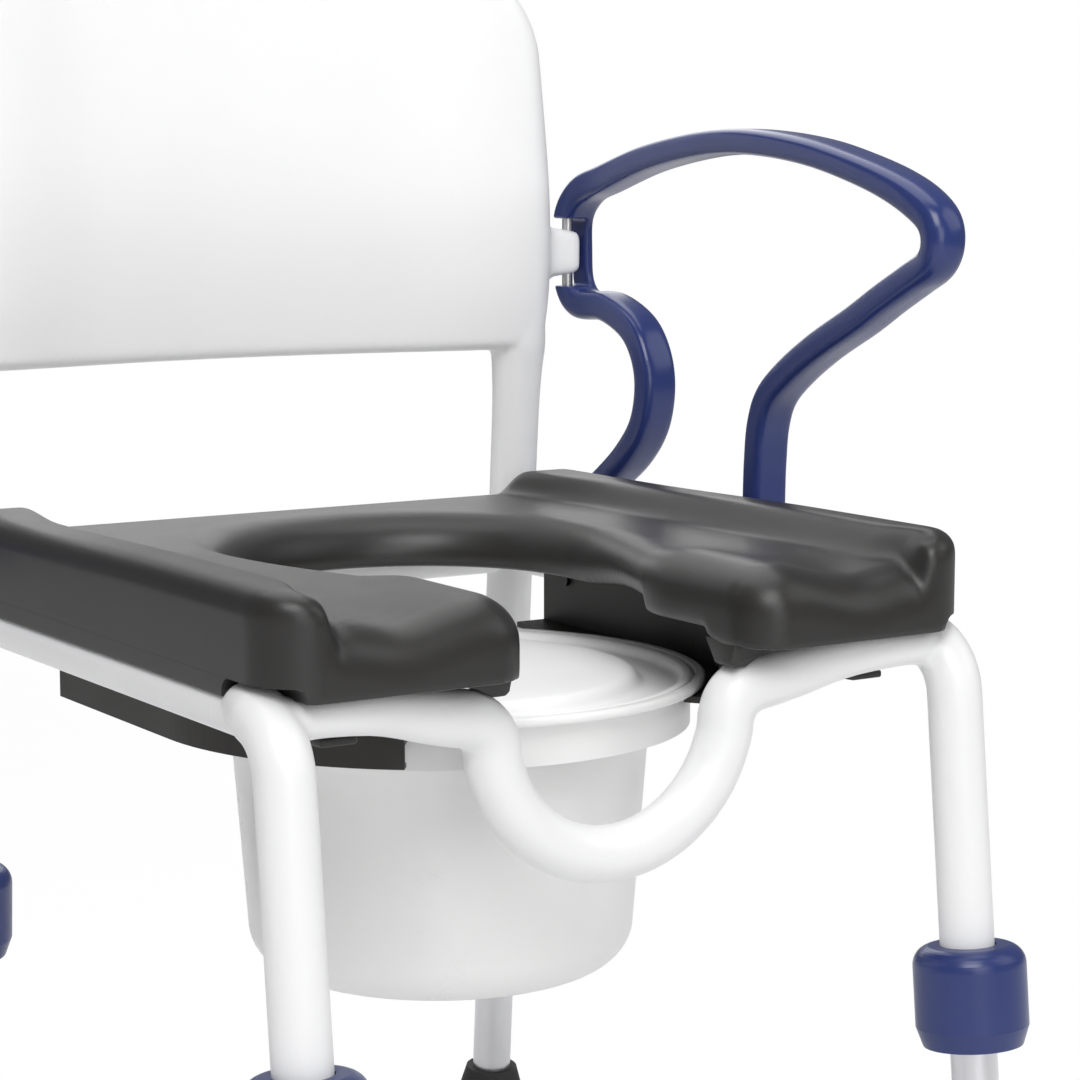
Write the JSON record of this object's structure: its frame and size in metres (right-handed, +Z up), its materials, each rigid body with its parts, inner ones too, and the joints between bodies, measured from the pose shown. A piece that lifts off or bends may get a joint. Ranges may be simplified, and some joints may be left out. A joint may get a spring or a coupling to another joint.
{
  "type": "shower and commode chair",
  "caption": "White tube-frame shower and commode chair with a keyhole padded seat, a lidded pan, a moulded back, swing-away blue armrests and height-adjustable legs.",
  "frame": {"origin": "on the floor, straight below the middle of the pan", "axes": "+Z up, the sitter faces -Y and the sitter's left is +X"},
  "size_m": [0.9791, 0.6218, 0.885],
  "materials": {
    "frame_white": "satin, powder coated",
    "back_white": "satin",
    "collar_blue": "satin",
    "button_grey": "satin",
    "leg_aluminium": "satin",
    "foot_rubber": "matte",
    "seat_foam": "satin",
    "clip_black": "satin",
    "holder_black": "satin",
    "pin_steel": "satin",
    "pan_white": "satin",
    "lid_white": "satin",
    "arm_blue": "satin",
    "buffer_rubber": "matte"
  },
  "bodies": {
    "frame": {"front_bridge": "frame_white", "front_leg_left": "frame_white", "front_leg_right": "frame_white", "leg_elbow_left": "frame_white", "leg_elbow_right": "frame_white", "side_rail_left": "frame_white", "side_rail_right": "frame_white", "rear_leg_left": "frame_white", "rear_leg_right": "frame_white", "rear_crossbar": "frame_white", "lug_left": "frame_white", "lug_right": "frame_white", "arm_bracket_left": "frame_white", "arm_bracket_right": "frame_white", "back_panel": "back_white", "back_side_left": "back_white", "back_side_right": "back_white", "collar_front_left": "collar_blue", "collar_front_right": "collar_blue", "collar_rear_left": "collar_blue", "collar_rear_right": "collar_blue", "seat_pad": "seat_foam", "seat_clips": "clip_black", "pan_holder_left": "holder_black", "pan_holder_right": "holder_black", "holder_screws": "pin_steel", "upper_pin_left": "pin_steel", "upper_pin_right": "pin_steel", "lower_pin_left": "pin_steel", "lower_pin_right": "pin_steel"},
    "left_arm": {"armrest_left": "arm_blue", "arm_buffer_left": "buffer_rubber"},
    "right_arm": {"armrest_right": "arm_blue", "arm_buffer_right": "buffer_rubber"},
    "pan": {"pan": "pan_white"},
    "lid": {"pan_lid": "lid_white"},
    "leg_front_left": {"inner_leg_front_left": "leg_aluminium", "foot_front_left": "foot_rubber"},
    "leg_front_right": {"inner_leg_front_right": "leg_aluminium", "foot_front_right": "foot_rubber"},
    "leg_rear_left": {"inner_leg_rear_left": "leg_aluminium", "foot_rear_left": "foot_rubber"},
    "leg_rear_right": {"inner_leg_rear_right": "leg_aluminium", "foot_rear_right": "foot_rubber"},
    "button_front_left": {"button_front_left": "button_grey"},
    "button_front_right": {"button_front_right": "button_grey"},
    "button_rear_left": {"button_rear_left": "button_grey"},
    "button_rear_right": {"button_rear_right": "button_grey"}
  },
  "joints": [
    {"name": "left_arm_swing", "type": "hinge", "parent": "frame", "child": "left_arm", "pos_m": [0.262, 0.25, 0.5], "axis": [0, 0, 1], "range_deg": [0, 90]},
    {"name": "right_arm_swing", "type": "hinge", "parent": "frame", "child": "right_arm", "pos_m": [-0.262, 0.25, 0.5], "axis": [0, 0, 1], "range_deg": [0, 90]},
    {"name": "pan_slide", "type": "slide", "parent": "frame", "child": "pan", "axis": [0, 1, 0], "range_m": [0, 0.45]},
    {"name": "lid_lift", "type": "slide", "parent": "pan", "child": "lid", "axis": [0, 0, 1], "range_m": [0, 0.02]},
    {"name": "leg_front_left_slide", "type": "slide", "parent": "frame", "child": "leg_front_left", "axis": [0, -0.1045, -0.9945], "range_m": [0, 0.1]},
    {"name": "leg_front_right_slide", "type": "slide", "parent": "frame", "child": "leg_front_right", "axis": [0, -0.1045, -0.9945], "range_m": [0, 0.1]},
    {"name": "leg_rear_left_slide", "type": "slide", "parent": "frame", "child": "leg_rear_left", "axis": [0, 0.0698, -0.9976], "range_m": [0, 0.1]},
    {"name": "leg_rear_right_slide", "type": "slide", "parent": "frame", "child": "leg_rear_right", "axis": [0, 0.0698, -0.9976], "range_m": [0, 0.1]},
    {"name": "button_front_left_press", "type": "slide", "parent": "frame", "child": "button_front_left", "axis": [-1, 0, 0], "range_m": [0, 0.003], "stiffness_N_per_m": 400},
    {"name": "button_front_right_press", "type": "slide", "parent": "frame", "child": "button_front_right", "axis": [1, 0, 0], "range_m": [0, 0.003], "stiffness_N_per_m": 400},
    {"name": "button_rear_left_press", "type": "slide", "parent": "frame", "child": "button_rear_left", "axis": [-1, 0, 0], "range_m": [0, 0.003], "stiffness_N_per_m": 400},
    {"name": "button_rear_right_press", "type": "slide", "parent": "frame", "child": "button_rear_right", "axis": [1, 0, 0], "range_m": [0, 0.003], "stiffness_N_per_m": 400}
  ]
}
